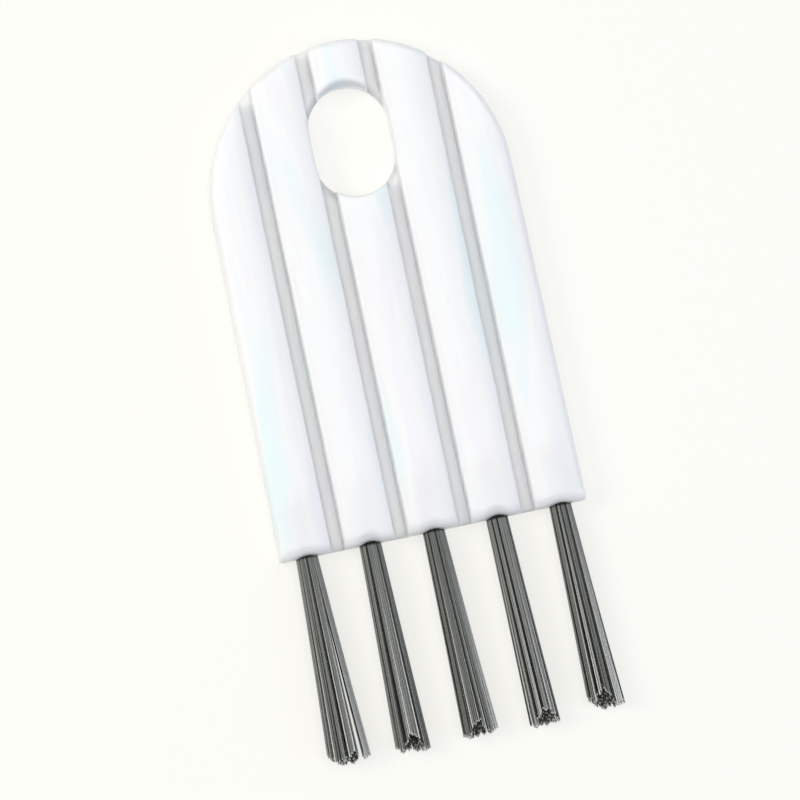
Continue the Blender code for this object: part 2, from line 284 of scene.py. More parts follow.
@dataclass(frozen=True)
class DrawnNylon:
    """Dark grey nylon 6 filament, extruded and drawn.

    It gives the eye even grey hairs with a lengthwise sheen. Each filament has its own tone; a few are
    painted pale as highlights, those inside the tuft and along its gaps are painted dark as shade, and
    all are painted dark as shade at the hole's mouth. Drawing leaves fine lines along them, and the cut
    ends are paler.
    """

    name: str = "grey_nylon_drawn_filament"
    # Low tones lie near this colour: painted shade inside the tufts, along their gaps and at the holes'
    # mouths, and a few dark edge strands.
    dark: str = "#0F0F0E"
    colour: str = "#7A7C77"
    # High tones lie near this colour: painted highlights beside the gaps, and pale streaks.
    pale: str = "#DADBD6"
    cut_colour: str = "#D4D5D0"
    roughness: float = 0.36
    ior: float = 1.53
    gloss: float = 0.18
    plain_level: float = 0.45
    # Real drawing lines are about 0.01 mm apart. They are drawn coarser, so that they show.
    lines: Grain = Grain((0.05 * MM, 2.4 * MM, 0.05 * MM))
    line_height: float = 0.004 * MM
    line_strength: float = 0.6
    mottle: float = 0.16

    def make(self) -> Material:
        """Builds the material.

        Returns:
            The bristles' material.
        """
        material, add = new_material(self.name)
        lines = self.lines.draw(add, add("TexCoord", {}).outputs["Object"])
        tone, cut = (
            add("Attribute", {"attribute_name": attribute.value}).outputs["Fac"] for attribute in Strand)
        mottled = add("MapRange", {"Value": lines, "To Min": -self.mottle / 2, "To Max": self.mottle / 2})
        hair = add("ValToRGB", {
            "Fac": add("Math", {"operation": "ADD", "use_clamp": True, 0: tone, 1: mottled}),
            "stops": ((0.0, self.dark), (self.plain_level, self.colour), (1.0, self.pale)),
        })
        shader = add("BsdfPrincipled", {
            "Base Color": add("MixRGB", {"Fac": cut, "Color1": hair, "Color2": linear(self.cut_colour)}),
            "Normal": add("Bump", {
                "Height": lines, "Strength": self.line_strength, "Distance": self.line_height}),
            "IOR": self.ior,
            "Roughness": self.roughness,
            "Specular IOR Level": self.gloss,
        })
        add("OutputMaterial", {"Surface": shader})
        return material


@dataclass(frozen=True)
class RolledSteelWire:
    """Plain steel wire, rolled flat and sheared to length.

    It gives the eye a grey metal with fine rolling lines along the wire and a duller, oily film.
    """

    name: str = "steel_wire_rolled_flat"
    colour: str = "#A9A8A4"
    film: str = "#8B8780"
    film_stops: tuple[float, float] = (0.35, 0.65)
    roughness: float = 0.32
    line_roughness: float = 0.1
    # Real rolling lines are under 0.01 mm apart. They are drawn coarser, so that they show.
    lines: Grain = Grain((1.2 * MM, 0.03 * MM, 0.03 * MM), detail=3.0, roughness=0.6)
    line_height: float = 0.002 * MM
    line_strength: float = 0.5
    oil: Grain = Grain((0.5 * MM, 0.5 * MM, 0.5 * MM))

    def make(self) -> Material:
        """Builds the material.

        Returns:
            The anchors' material.
        """
        material, add = new_material(self.name)
        place = add("TexCoord", {}).outputs["Object"]
        lines = self.lines.draw(add, place)
        shader = add("BsdfPrincipled", {
            "Metallic": 1.0,
            "Base Color": add("ValToRGB", {
                "Fac": self.oil.draw(add, place),
                "stops": list(zip(self.film_stops, (self.film, self.colour))),
            }),
            "Roughness": add("MapRange", {
                "Value": lines,
                "To Min": self.roughness - self.line_roughness,
                "To Max": self.roughness + self.line_roughness,
            }),
            "Normal": add("Bump", {
                "Height": lines, "Strength": self.line_strength, "Distance": self.line_height}),
        })
        add("OutputMaterial", {"Surface": shader})
        return material


@dataclass(frozen=True)
class StudioPaper:
    """Warm white paper sweep under the brush.

    The camera and the reflections see it lifted to a near white, and the soft shadow stays on it.
    """

    name: str = "warm_white_paper_sweep"
    colour: str = "#FEFDF8"
    lift: float = 0.7

    def make(self) -> Material:
        """Builds the material.

        Returns:
            The floor's material.
        """
        material, add = new_material(self.name)
        rays = add("LightPath", {})
        seen = rays.outputs["Is Camera Ray"]
        for name in ("Is Glossy Ray", "Is Transmission Ray"):
            seen = add("Math", {"operation": "MAXIMUM", 0: seen, 1: rays.outputs[name]})
        mixed = add("MixShader", {
            0: add("Math", {"operation": "MULTIPLY", 0: seen, 1: self.lift}),
            1: add("BsdfDiffuse", {"Color": linear(self.colour)}),
            2: add("Emission", {"Color": linear(self.colour), "Strength": 1.0}),
        })
        add("OutputMaterial", {"Surface": mixed})
        return material


class RimNotes:
    """Notes on the vertices of a border: where each stands, and how the rim over it is rounded.

    Rings that are extruded from the border carry the notes on.
    """

    def __init__(self, bm: BMesh) -> None:
        """Adds the layers that hold the notes.

        Args:
            bm: The mesh that is to have rounded borders.
        """
        for name in ("foot", "pull"):
            bm.verts.layers.float_vector.new(name)
        self.radius = bm.verts.layers.float.new("radius")
        self.foot = bm.verts.layers.float_vector["foot"]
        self.pull = bm.verts.layers.float_vector["pull"]

    def write(self, vert: BMVert, pull: Vector, radius: float) -> None:
        """Writes a vertex's notes.

        Args:
            vert: The vertex.
            pull: The move that the whole rim makes in the plate's plane.
            radius: The rim's radius.
        """
        vert[self.foot] = vert.co
        vert[self.pull] = pull
        vert[self.radius] = radius

    def place(self, ring: list[BMEdge], inward: FromRim, height: FromRim) -> None:
        """Puts a ring's vertices where the rims over its border have them.

        Args:
            ring: The ring's edges.
            inward: Gives the share of the whole rim's move, from the rim's radius.
            height: Gives the height above the back, from the rim's radius.
        """
        for vert in {vert for edge in ring for vert in edge.verts}:
            radius = vert[self.radius]
            spot = vert[self.foot] + vert[self.pull] * inward(radius)
            vert.co = (spot.x, spot.y, height(radius))


def arc_points(centre: Vector, radius: float, start: float, end: float, steps: int) -> list[Vector]:
    """Returns the points of an arc.

    Args:
        centre: The arc's centre in its plane.
        radius: Its radius.
        start: The angle of its first point.
        end: The angle of its last point.
        steps: How many straight steps it is drawn in.

    Returns:
        The points, both ends included.
    """
    angles = [start + (end - start) * step / steps for step in range(steps + 1)]
    return [centre + Vector((cos(angle), sin(angle))) * radius for angle in angles]


def extend(bm: BMesh, edges: list[BMEdge]) -> list[BMEdge]:
    """Extrudes a chain of edges.

    Args:
        bm: The mesh that holds them.
        edges: The edges of the chain.

    Returns:
        The edges of the new chain.
    """
    made = bmesh.ops.extrude_edge_only(bm, edges=edges)["geom"]
    fresh = {item for item in made if isinstance(item, BMVert)}
    return [item for item in made if isinstance(item, BMEdge) and fresh.issuperset(item.verts)]


def loose_object(name: str, bm: BMesh) -> Object:
    """Puts an object with a copy of a mesh in the scene.

    Args:
        name: The object's name.
        bm: The mesh.

    Returns:
        The object.
    """
    mesh = bpy.data.meshes.new(name)
    bm.to_mesh(mesh)
    item = bpy.data.objects.new(name, mesh)
    bpy.context.scene.collection.objects.link(item)
    return item


def finish_piece(
    name: str, bm: BMesh, material: Material, nodes: tuple[str, ...], smooth_angle: float
) -> Object:
    """Turns a bmesh into a piece that rides on the part and stands for CAD nodes.

    Args:
        name: The piece's name.
        bm: Its shape in the row frame. It is freed here.
        material: Its material.
        nodes: The CAD nodes that it stands for.
        smooth_angle: Edges that are sharper than this angle stay sharp.

    Returns:
        The piece.
    """
    piece = loose_object(name, bm)
    bm.free()
    mesh = piece.data
    mesh.materials.append(material)
    mesh.shade_smooth()
    mesh.set_sharp_from_angle(angle=smooth_angle)
    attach(piece, BODY)
    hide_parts(*nodes)
    log.info("%s: %d faces", name, len(mesh.polygons))
    return piece


@dataclass
class HandlePlate:
    """The moulded plate: crowned ribs joined by thin webs, a round top and a hanging hole.

    Half of it is drawn as a flat blank with rounded borders, cut at each place where its section
    bends, mirrored, lowered to that section, and drilled for the tufts.
    """

    finish: MouldedPolypropylene
    node: str = "handle"
    slot: str = "plate"
    rib_count: int = 5
    groove_width: float = 2.0 * MM
    web_thickness: float = 1.2 * MM
    crown_rise: float = 0.5 * MM
    shoulder_radius: float = 0.3 * MM
    root_radius: float = 0.3 * MM
    wall_draft: float = radians(1)
    side_flare: float = 0.3 * MM
    top_draw_in: float = 0.25 * MM
    corner_radius: float = 0.4 * MM
    side_rim: float = 0.85 * MM
    end_rim: float = 1.8 * MM
    back_edge: float = 0.3 * MM
    hole_length: float = 15.4 * MM
    hole_height: float = 55.4 * MM
    hole_side_cut: float = 0.15 * MM
    hole_rim: float = 0.4 * MM
    hole_top_rim: float = 1.5 * MM
    tuft_hole_radius: float = 1.7 * MM
    tuft_hole_depth: float = 8.0 * MM
    dish_depth: float = 0.22 * MM
    dish_radius: float = 1.9 * MM
    dish_shares: tuple[float, ...] = (0.25, 1.0, 0.5, 1.0, 0.25)
    dish_flatness: int = 4
    crown_steps: int = 10
    fillet_steps: int = 5
    rim_steps: int = 8
    top_steps: int = 40
    corner_steps: int = 6
    hole_steps: int = 20
    row_pitch: float = 3.0 * MM
    end_row_pitch: float = 0.3 * MM
    end_rows: int = 12
    rows_below_rim: int = 4
    tuft_hole_sides: int = 48
    smooth_angle: float = radians(38)

    def __post_init__(self) -> None:
        """Takes the plate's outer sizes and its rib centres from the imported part."""
        low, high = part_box(self.node)
        self.thickness = high.z
        self.end_y = low.y
        self.top_y = high.y
        self.half_width = high.x
        boxes = [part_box(f"anchor_{index + 1}") for index in range(self.rib_count)]
        self.rib_centres = [(box[0].x + box[1].x) / 2 for box in boxes]
        self.tuft_z = (boxes[0][0].z + boxes[0][1].z) / 2
        self.rib_pitch = self.rib_centres[1] - self.rib_centres[0]
        self.rib_width = self.rib_pitch - self.groove_width
        self.top_radius = self.half_width - self.side_flare - self.top_draw_in
        self.top_centre = Vector((0, self.top_y - self.top_radius, 0))
        reach = self.top_centre.y - self.end_y
        self.taper = atan2(self.half_width, reach) - asin(self.top_radius / hypot(self.half_width, reach))
        self.hole_radius = (self.rib_pitch + self.groove_width) / 2 + self.hole_side_cut
        self.crown_radius = ((self.rib_width / 2) ** 2 + self.crown_rise ** 2) / (2 * self.crown_rise)

    def build(self) -> Object:
        """Builds the plate.

        Returns:
            The finished piece.
        """
        bm = self.half_blank()
        for x in sorted({abs(x) for x, _ in self.section()}):
            if 0 < x < self.half_width:
                self.cut_across(bm, Vector((x, 0, 0)), Vector((1, 0, 0)))
        for y in self.rows():
            self.cut_across(bm, Vector((0, y, 0)), Vector((0, 1, 0)))
        bmesh.ops.mirror(bm, geom=bm.verts[:] + bm.edges[:] + bm.faces[:], axis="X", merge_dist=LEAST)
        self.lower_to_section(bm)
        bmesh.ops.recalc_face_normals(bm, faces=bm.faces)
        self.drill(bm)
        return finish_piece(
            "ribbed_plate", bm, self.finish.make(), (self.node,), self.smooth_angle)

    def half_blank(self) -> BMesh:
        """Draws the half with x above 0, before its ribs, with its rounded borders.

        Returns:
            The open half, whose cut lies on the middle plane.
        """
        bm = bmesh.new()
        notes = RimNotes(bm)
        borders = (self.draw_outline(bm, notes), self.draw_hole(bm, notes))
        self.close_half(bm, borders)
        self.close_half(bm, tuple(self.raise_border(bm, border, notes) for border in borders))
        return bm

    def draw_outline(self, bm: BMesh, notes: RimNotes) -> list[BMEdge]:
        """Draws the right half of the plate's outline and notes how its rim turns in.

        Args:
            bm: The mesh that takes it.
            notes: The mesh's notes on its rims.

        Returns:
            The outline's edges, from the bristle end to the top.
        """
        side = Vector((cos(self.taper), sin(self.taper), 0))
        corner_x = self.half_width - self.corner_radius * (tan(self.taper) + 1 / cos(self.taper))
        corner_centre = Vector((corner_x, self.end_y + self.corner_radius, 0))
        middle = bm.verts.new((0, self.end_y, 0))
        down = Vector((0, -self.corner_radius, 0))
        corner = self.draw_arc(bm, corner_centre, down, QUARTER_TURN + self.taper, self.corner_steps)
        top = self.draw_arc(
            bm, self.top_centre, side * self.top_radius, QUARTER_TURN - self.taper, self.top_steps)
        pull_x = -self.side_rim / cos(self.taper) - self.end_rim * tan(self.taper)
        notes.write(middle, Vector((0, self.end_rim, 0)), self.end_rim)
        for index, vert in enumerate(corner):
            rim = self.end_rim + (self.side_rim - self.end_rim) * index / self.corner_steps
            notes.write(vert, Vector((pull_x, self.end_rim, 0)), rim)
        for vert in top:
            notes.write(vert, (self.top_centre - vert.co).normalized() * self.side_rim, self.side_rim)
        return self.join([middle, *corner, *top], bm)

    def draw_hole(self, bm: BMesh, notes: RimNotes) -> list[BMEdge]:
        """Draws the right half of the hanging hole and notes how its rim turns out.

        Args:
            bm: The mesh that takes it.
            notes: The mesh's notes on its rims.

        Returns:
            The hole's edges, from its lowest point to its highest.
        """
        middle_y = self.end_y + self.hole_height
        reach = self.hole_length / 2 - self.hole_radius
        verts = []
        ends = (
            (middle_y - reach, Vector((0, -1, 0)), self.hole_rim),
            (middle_y + reach, Vector((1, 0, 0)), self.hole_top_rim),
        )
        for y, start, last_rim in ends:
            centre = Vector((0, y, 0))
            part = self.draw_arc(bm, centre, start * self.hole_radius, QUARTER_TURN, self.hole_steps)
            for index, vert in enumerate(part):
                rim = self.hole_rim + (last_rim - self.hole_rim) * index / self.hole_steps
                notes.write(vert, (vert.co - centre).normalized() * rim, rim)
            verts += part
        return self.join(verts, bm)

    @staticmethod
    def draw_arc(bm: BMesh, centre: Vector, start: Vector, angle: float, steps: int) -> list[BMVert]:
        """Spins a vertex round a centre, counter-clockwise seen from the front.

        Args:
            bm: The mesh that takes the arc.
            centre: The arc's centre.
            start: Its first point, from the centre.
            angle: How far it turns.
            steps: How many straight steps it is drawn in.

        Returns:
            The arc's vertices in order.
        """
        verts = [bm.verts.new(centre + start)]
        for _ in range(steps):
            made = bmesh.ops.spin(
                bm, geom=[verts[-1]], cent=centre, axis=(0, 0, 1), angle=angle / steps, steps=1)
            verts += [item for item in made["geom_last"] if isinstance(item, BMVert)]
        return verts

    @staticmethod
    def join(verts: list[BMVert], bm: BMesh) -> list[BMEdge]:
        """Returns the edges that join vertices in order, and makes the ones that are missing."""
        return [bm.edges.get(pair) or bm.edges.new(pair) for pair in zip(verts, verts[1:])]

    def raise_border(self, bm: BMesh, border: list[BMEdge], notes: RimNotes) -> list[BMEdge]:
        """Raises a border from the back to the front, round at both edges.

        Args:
            bm: The mesh that holds it.
            border: Its edges at the back.
            notes: The mesh's notes on its rims.

        Returns:
            Its edges at the front.
        """
        notes.place(border, lambda rim: self.back_edge / rim, lambda rim: 0)
        for step in range(1, self.fillet_steps + 1):
            turn = QUARTER_TURN * step / self.fillet_steps
            border = extend(bm, border)
            notes.place(
                border,
                lambda rim, turn=turn: self.back_edge * (1 - sin(turn)) / rim,
                lambda rim, turn=turn: self.back_edge * (1 - cos(turn)),
            )
        for step in range(self.rim_steps + 1):
            turn = QUARTER_TURN * step / self.rim_steps
            border = extend(bm, border)
            notes.place(
                border,
                lambda rim, turn=turn: 1 - cos(turn),
                lambda rim, turn=turn: self.thickness - rim * (1 - sin(turn)),
            )
        return border

    @staticmethod
    def close_half(bm: BMesh, borders: tuple[list[BMEdge], ...]) -> None:
        """Fills the flat of the half between its outline and its hole.

        Args:
            bm: The mesh that holds them.
            borders: The edges of the outline and of the hole at one level.
        """
        ends = []
        for border in borders:
            verts = {vert for edge in border for vert in edge.verts if vert.co.x < LEAST}
            ends.append(sorted(verts, key=lambda vert: vert.co.y))
        outer, inner = ends
        seam = [bm.edges.new((outer[0], inner[0])), bm.edges.new((outer[-1], inner[-1]))]
        bmesh.ops.contextual_create(bm, geom=[*borders[0], *borders[1], *seam])

    def rib_profile(self) -> list[Vector]:
        """Works out half of a rib's section, from its crown to the web.

        Returns:
            Its points, each as the distance from the rib's middle and the height.
        """
        crown_z = self.thickness - self.crown_radius
        shoulder_x = self.rib_width / 2 - self.shoulder_radius * cos(self.wall_draft)
        inner_radius = self.crown_radius - self.shoulder_radius
        lean = asin(shoulder_x / inner_radius)
        shoulder_at = Vector((shoulder_x, crown_z + inner_radius * cos(lean)))
        top = QUARTER_TURN - lean
        crown = arc_points(Vector((0, crown_z)), self.crown_radius, QUARTER_TURN, top, self.crown_steps)
        shoulder = arc_points(shoulder_at, self.shoulder_radius, top, self.wall_draft, self.fillet_steps)
        wall_top = shoulder[-1]
        root_z = self.web_thickness + self.root_radius
        slope = Vector((sin(self.wall_draft), cos(self.wall_draft)))
        wall = (wall_top.y + self.root_radius * slope.x - root_z) / slope.y
        root_at = Vector((wall_top.x + wall * slope.x + self.root_radius * slope.y, root_z))
        root = arc_points(root_at, self.root_radius, pi + self.wall_draft, pi * 3 / 2, self.fillet_steps)
        return crown + shoulder[1:] + root

    def section(self) -> list[tuple[float, float]]:
        """Works out the plate's section.

        Beyond the middle of the outermost ribs there is no groove, and the crown runs on to the side.

        Returns:
            Its corners in order along X, each as a place and a height.
        """
        profile = self.rib_profile()
        outermost = self.rib_centres[-1]
        corners = []
        for centre in self.rib_centres:
            corners += [(centre - point.x, point.y) for point in reversed(profile[1:])]
            corners += [(centre + point.x, point.y) for point in profile]
        corners = [corner for corner in corners if abs(corner[0]) <= outermost]
        # One step more than the crown has, so that the section reaches past the side.
        for step in range(1, self.crown_steps + 2):
            away = (self.half_width - outermost) * step / self.crown_steps
            height = self.thickness - self.crown_radius + sqrt(self.crown_radius ** 2 - away ** 2)
            corners.append((outermost + away, height))
            corners.insert(0, (-outermost - away, height))
        return corners

    def rows(self) -> list[float]:
        """Works out where the plate is cut along Y: closely at the bristle end, then evenly.

        Returns:
            The places along Y.
        """
        close = [
            self.end_y + self.end_rim + self.end_row_pitch * (row - self.rows_below_rim)
            for row in range(self.end_rows)
        ]
        count = int((self.top_y - close[-1]) / self.row_pitch)
        return close + [close[-1] + self.row_pitch * (row + 1) for row in range(count)]

    @staticmethod
    def cut_across(bm: BMesh, place: Vector, direction: Vector) -> None:
        """Cuts every face of the mesh where a plane crosses it."""
        everything = bm.verts[:] + bm.edges[:] + bm.faces[:]
        bmesh.ops.bisect_plane(bm, geom=everything, dist=LEAST, plane_co=place, plane_no=direction)

    def lower_to_section(self, bm: BMesh) -> None:
        """Lowers the front of the blank to the ribs' section, with a shallow dish over each tuft.

        Args:
            bm: The blank.
        """
        section = self.section()
        heights = {}
        for vert in bm.verts:
            if vert.co.z > self.thickness / 2:
                x = round(vert.co.x, PLACE_DIGITS)
                if x not in heights:
                    heights[x] = self.height_at(section, x)
                vert.co.z *= heights[x] / self.thickness
                vert.co.z -= self.dish_at(vert.co)

    @staticmethod
    def height_at(section: list[tuple[float, float]], x: float) -> float:
        """Works out how high the section is, which runs straight between its corners.

        Args:
            section: The section's corners.
            x: The place across the ribs.

        Returns:
            The height there.
        """
        for (x0, z0), (x1, z1) in zip(section, section[1:]):
            if x0 <= x <= x1:
                return z0 + (z1 - z0) * (x - x0) / (x1 - x0)
        return section[-1][1]

    def dish_at(self, place: Vector) -> float:
        """Works out how far the front is sunk over a tuft, where the wall over its hole is thin.

        Args:
            place: The place on the front.

        Returns:
            The depth of the dish there.
        """
        index = min(range(self.rib_count), key=lambda rib: abs(self.rib_centres[rib] - place.x))
        away = Vector((place.x - self.rib_centres[index], place.y - self.end_y)).length / self.dish_radius
        return self.dish_depth * self.dish_shares[index] * max(0.0, 1 - away ** self.dish_flatness)

    def drill(self, bm: BMesh) -> None:
        """Takes the blind tuft holes out of the bristle end.

        Args:
            bm: The plate. It holds the drilled shape afterwards.
        """
        solid = loose_object("plate_before_drilling", bm)
        holes = bmesh.new()
        lengthwise = Matrix.Rotation(QUARTER_TURN, 4, "X")
        for x in self.rib_centres:
            bmesh.ops.create_cone(
                holes,
                cap_ends=True,
                segments=self.tuft_hole_sides,
                radius1=self.tuft_hole_radius,
                radius2=self.tuft_hole_radius,
                depth=self.tuft_hole_depth * 2,
                matrix=Matrix.Translation((x, self.end_y, self.tuft_z)) @ lengthwise,
            )
        cutter = loose_object("tuft_hole_drills", holes)
        holes.free()
        drilling = solid.modifiers.new("drilling", "BOOLEAN")
        drilling.operation = "DIFFERENCE"
        drilling.solver = "EXACT"
        drilling.object = cutter
        graph = bpy.context.evaluated_depsgraph_get()
        drilled = bpy.data.meshes.new_from_object(solid.evaluated_get(graph))
        bm.clear()
        bm.from_mesh(drilled)
        for item in (solid, cutter):
            mesh = item.data
            bpy.data.objects.remove(item)
            bpy.data.meshes.remove(mesh)
        bpy.data.meshes.remove(drilled)


@dataclass(frozen=True)
class Streak:
    """Bristles whose ends lie between two shares of the tip's half width, and how light they are."""

    low: float
    high: float
    tone: float


@dataclass(frozen=True)
class TuftHabit:
    """How one tuft's bristles happen to lie and how its tip was cut.

    The notch is where the front bristles are shorter, and one looks into the tuft. The slit, between
    two shares of the tip's half width, parts a stray lock from the rest.
    """

    notch_middle: float
    notch_width: float
    notch_depth: float
    left_shorter: float
    right_shorter: float
    slit: tuple[float, float] = (1.0, 1.0)
    streaks: tuple[Streak, ...] = ()

    def parted(self, share: float) -> float:
        """Works out where a bristle's end comes to lie once the slit has opened.

        Args:
            share: Where it would lie with no slit, as a share of the tip's half width.

        Returns:
            Where it lies, as such a share.
        """
        low, high = self.slit
        middle = (low + high) / 2
        if share > middle:
            return high + (share - middle) * (1 - high) / max(1 - middle, LEAST)
        return -1 + (share + 1) * (low + 1) / (middle + 1)

    def tone_at(self, share: float) -> float | None:
        """Returns the tone of the streak that a share of the half width lies in, if there is one."""
        return next((streak.tone for streak in self.streaks if streak.low <= share <= streak.high), None)


@dataclass(frozen=True)
class Station:
    """A place along a filament, with how light and how freshly cut the filament is there."""

    place: Vector
    tone: float
    cut: float = 0.0


@dataclass
class BristleTuft:
    """A tuft of nylon filaments, folded in half round its anchor and driven into a rib's end.

    It opens towards an oval tip, whose middle bristles are shorter. Its bristles cling together in
    locks round its axis, with gaps between them. The bristles inside it and along the gaps are painted
    dark as shade, and a few beside the gaps are painted pale as highlights.
    """

    index: int
    habit: TuftHabit
    material: Material
    slot: str = "bristles"
    filament: float = 0.2 * MM
    filament_pitch: float = 0.216 * MM
    root_radius: float = 1.6 * MM
    recess: float = 0.6 * MM
    # The filaments are painted dark as shade this far out of the hole's mouth, then fade to their tone.
    mouth_shade: float = 0.5 * MM
    mouth_fade: float = 0.3 * MM
    hollow_share: float = 0.15
    bend_share: float = 0.8
    stray_share: float = 0.3
    lock_count: int = 12
    lock_gap_share: float = 0.14
    lock_rounding: float = 0.6 * MM
    lock_unevenness: float = 0.5 * MM
    # Bristles this close to a gap are painted dark as shade; some a little further off, within gap_side,
    # are painted pale towards their ends as highlights.
    gap_shade: float = radians(3.5)
    gap_side: float = radians(10)
    painted_glint_share: float = 0.5
    inner_share: float = 0.72
    # Tones painted as shade: for the core, and for the rest inside the tuft and along the gaps.
    core_shade_tones: tuple[float, float] = (0.04, 0.32)
    inner_shade_tones: tuple[float, float] = (0.0, 0.1)
    plain_tones: tuple[float, float] = (0.42, 0.54)
    # Tones of the painted highlights.
    painted_glint_tones: tuple[float, float] = (0.75, 1.0)
    cut_back: float = 0.25 * MM
    cut_unevenness: float = 0.25 * MM
    core_shorter: float = 2.4 * MM
    core_share: float = 0.6
    core_evenness: tuple[float, float] = (0.6, 1.0)
    notch_evenness: tuple[float, float] = (0.85, 1.0)
    cut_height: float = 0.28 * MM
    burr_share: float = 1.1
    sides: int = 5
    free_steps: int = 3
    fold_steps: int = 3
    smooth_angle: float = radians(75)
    seed: int = 31

    def __post_init__(self) -> None:
        """Takes the tuft's place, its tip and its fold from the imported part."""
        self.node = f"tuft_{self.index + 1}"
        low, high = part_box(self.node)
        anchor_low, anchor_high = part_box(f"anchor_{self.index + 1}")
        self.axis_x = (anchor_low.x + anchor_high.x) / 2
        self.axis_z = (anchor_low.z + anchor_high.z) / 2
        self.anchor_half = (anchor_high.z - anchor_low.z) / 2
        self.mouth_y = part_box("handle")[0].y + self.recess
        self.fold_y = high.y
        self.fold_centre_y = anchor_high.y
        self.tip_y = low.y
        self.tip_centre = Vector(((low.x + high.x) / 2, (low.z + high.z) / 2))
        self.tip_half = Vector((high.x - low.x - self.filament, high.z - low.z - self.filament)) / 2
        self.reach = self.root_radius - self.filament / 2
        self.chance = random.Random(self.seed + self.index)
        self.gaps = self.pick_gaps()
        self.lock_cuts = [self.chance.uniform(0, self.lock_unevenness) for _ in range(self.lock_count)]

    def pick_gaps(self) -> list[float]:
        """Picks where the gaps between the locks are.

        Returns:
            Their angles in order, with the first once more at the end.
        """
        even = tau / self.lock_count
        strays = [self.chance.uniform(-self.stray_share, self.stray_share) for _ in range(self.lock_count)]
        gaps = [even * (lock + stray) for lock, stray in enumerate(strays)]
        return [*gaps, gaps[0] + tau]

    def build(self) -> Object:
        """Builds the tuft.

        Returns:
            The finished piece.
        """
        bm = bmesh.new()
        for root in self.roots():
            lower = Vector((root.x, -root.y))
            self.add_filament(bm, [*self.free_half(root), *self.fold(root), *self.free_half(lower)[::-1]])
        bmesh.ops.recalc_face_normals(bm, faces=bm.faces)
        return finish_piece(
            f"bristles_{self.index + 1}", bm, self.material, (self.node,), self.smooth_angle)

    def roots(self) -> list[Vector]:
        """Works out where the filaments' upper halves stand in the tuft's root.

        Returns:
            Their places, from the tuft's axis.
        """
        row_height = self.filament_pitch * ROW_RISE
        columns = ceil(self.reach / self.filament_pitch)
        roots = []
        for row in range(ceil(self.reach / row_height)):
            for column in range(-columns, columns + 1):
                place = Vector(((column + row % 2 / 2) * self.filament_pitch, (row + 0.5) * row_height))
                if place.length <= self.reach:
                    roots.append(place)
        return roots

    def lock_at(self, angle: float) -> tuple[int, float]:
        """Finds the lock that stands at an angle round the tuft.

        Args:
            angle: The angle.

        Returns:
            The lock's number, and how far across it the angle lies: -1 and 1 are its two edges.
        """
        turned = (angle - self.gaps[0]) % tau + self.gaps[0]
        lock = max(lock for lock in range(self.lock_count) if self.gaps[lock] <= turned)
        start, end = self.gaps[lock:lock + 2]
        return lock, (2 * turned - start - end) / (end - start)

    def gap_at(self, angle: float) -> float:
        """Returns how far, as an angle, a place round the tuft is from the next gap between locks."""
        return min(abs((angle - gap + pi) % tau - pi) for gap in self.gaps)

    def tip(self, root: Vector) -> Vector:
        """Works out where a bristle ends.

        Args:
            root: Where it stands in the tuft's root, from its axis.

        Returns:
            The end's place.
        """
        share = root.length / self.reach
        lock, across = self.lock_at(atan2(root.y, root.x))
        start, end = self.gaps[lock:lock + 2]
        gap_share = self.lock_gap_share if root.y > 0 else 0.0
        angle = (start + end + across * (end - start) * (1 - gap_share)) / 2
        out = self.hollow_share + (1 - self.hollow_share) * share
        side_share = self.habit.parted(cos(angle) * out)
        jitter = self.filament_pitch * self.stray_share
        x = side_share * (self.tip_half.x - jitter) + self.chance.uniform(-jitter, jitter)
        z = sin(angle) * out * (self.tip_half.y - jitter) + self.chance.uniform(-jitter, jitter)
        side_cut = self.habit.right_shorter if side_share > 0 else self.habit.left_shorter
        core = max(0.0, 1 - share / self.core_share)
        from_notch = abs(x - self.habit.notch_middle) / (self.habit.notch_width / 2)
        notch = max(0.0, 1 - from_notch ** 2) if root.y > 0 else 0.0
        shorter = (
            self.cut_back
            + self.lock_cuts[lock]
            + self.lock_rounding * across ** 2
            + self.chance.uniform(0, self.cut_unevenness)
            + side_cut * side_share ** 2
            + self.core_shorter * core * self.chance.uniform(*self.core_evenness)
            + self.habit.notch_depth * notch * self.chance.uniform(*self.notch_evenness)
        )
        return Vector((self.tip_centre.x + x, self.tip_y + shorter, self.tip_centre.y + z))

    def tones(self, root: Vector) -> tuple[float, float]:
        """Picks how light a bristle is: painted dark as shade within the tuft and along its gaps, lighter
        outside.

        Args:
            root: Where it stands in the tuft's root, from its axis.

        Returns:
            Its tone at the mouth of the hole and at its end.
        """
        share = root.length / self.reach
        angle = atan2(root.y, root.x)
        plain = self.chance.uniform(*self.plain_tones)
        streak = self.habit.tone_at(self.habit.parted(cos(angle) * share))
        from_gap = self.gap_at(angle)
        if share >= self.inner_share and streak is not None:
            return plain, streak
        # Bristles inside the tuft and next to a gap are painted dark as shade.
        if share < self.inner_share or from_gap < self.gap_shade:
            dark = self.chance.uniform(*(self.core_shade_tones if share < self.core_share else self.inner_shade_tones))
            return dark, dark
        # A few bristles beside a gap are painted pale towards their ends as highlights.
        if from_gap < self.gap_side and self.chance.random() < self.painted_glint_share:
            return plain, self.chance.uniform(*self.painted_glint_tones)
        return plain, plain

    def free_half(self, root: Vector) -> list[Station]:
        """Works out the free half of a filament.

        Args:
            root: Where it stands in the tuft's root, from its axis.

        Returns:
            Its stations, from the cut end to the mouth of the hole.
        """
        start = Vector((self.axis_x + root.x, self.mouth_y, self.axis_z + root.y))
        way = self.tip(root) - start
        root_tone, tip_tone = self.tones(root)
        shade = self.mouth_shade / way.length
        lit = shade + self.mouth_fade / way.length
        stations = []
        for share in (0.0, shade, lit, *(step / self.free_steps for step in range(1, self.free_steps + 1))):
            out = share * (self.bend_share + (1 - self.bend_share) * share)
            place = start + Vector((way.x * out, way.y * share, way.z * out))
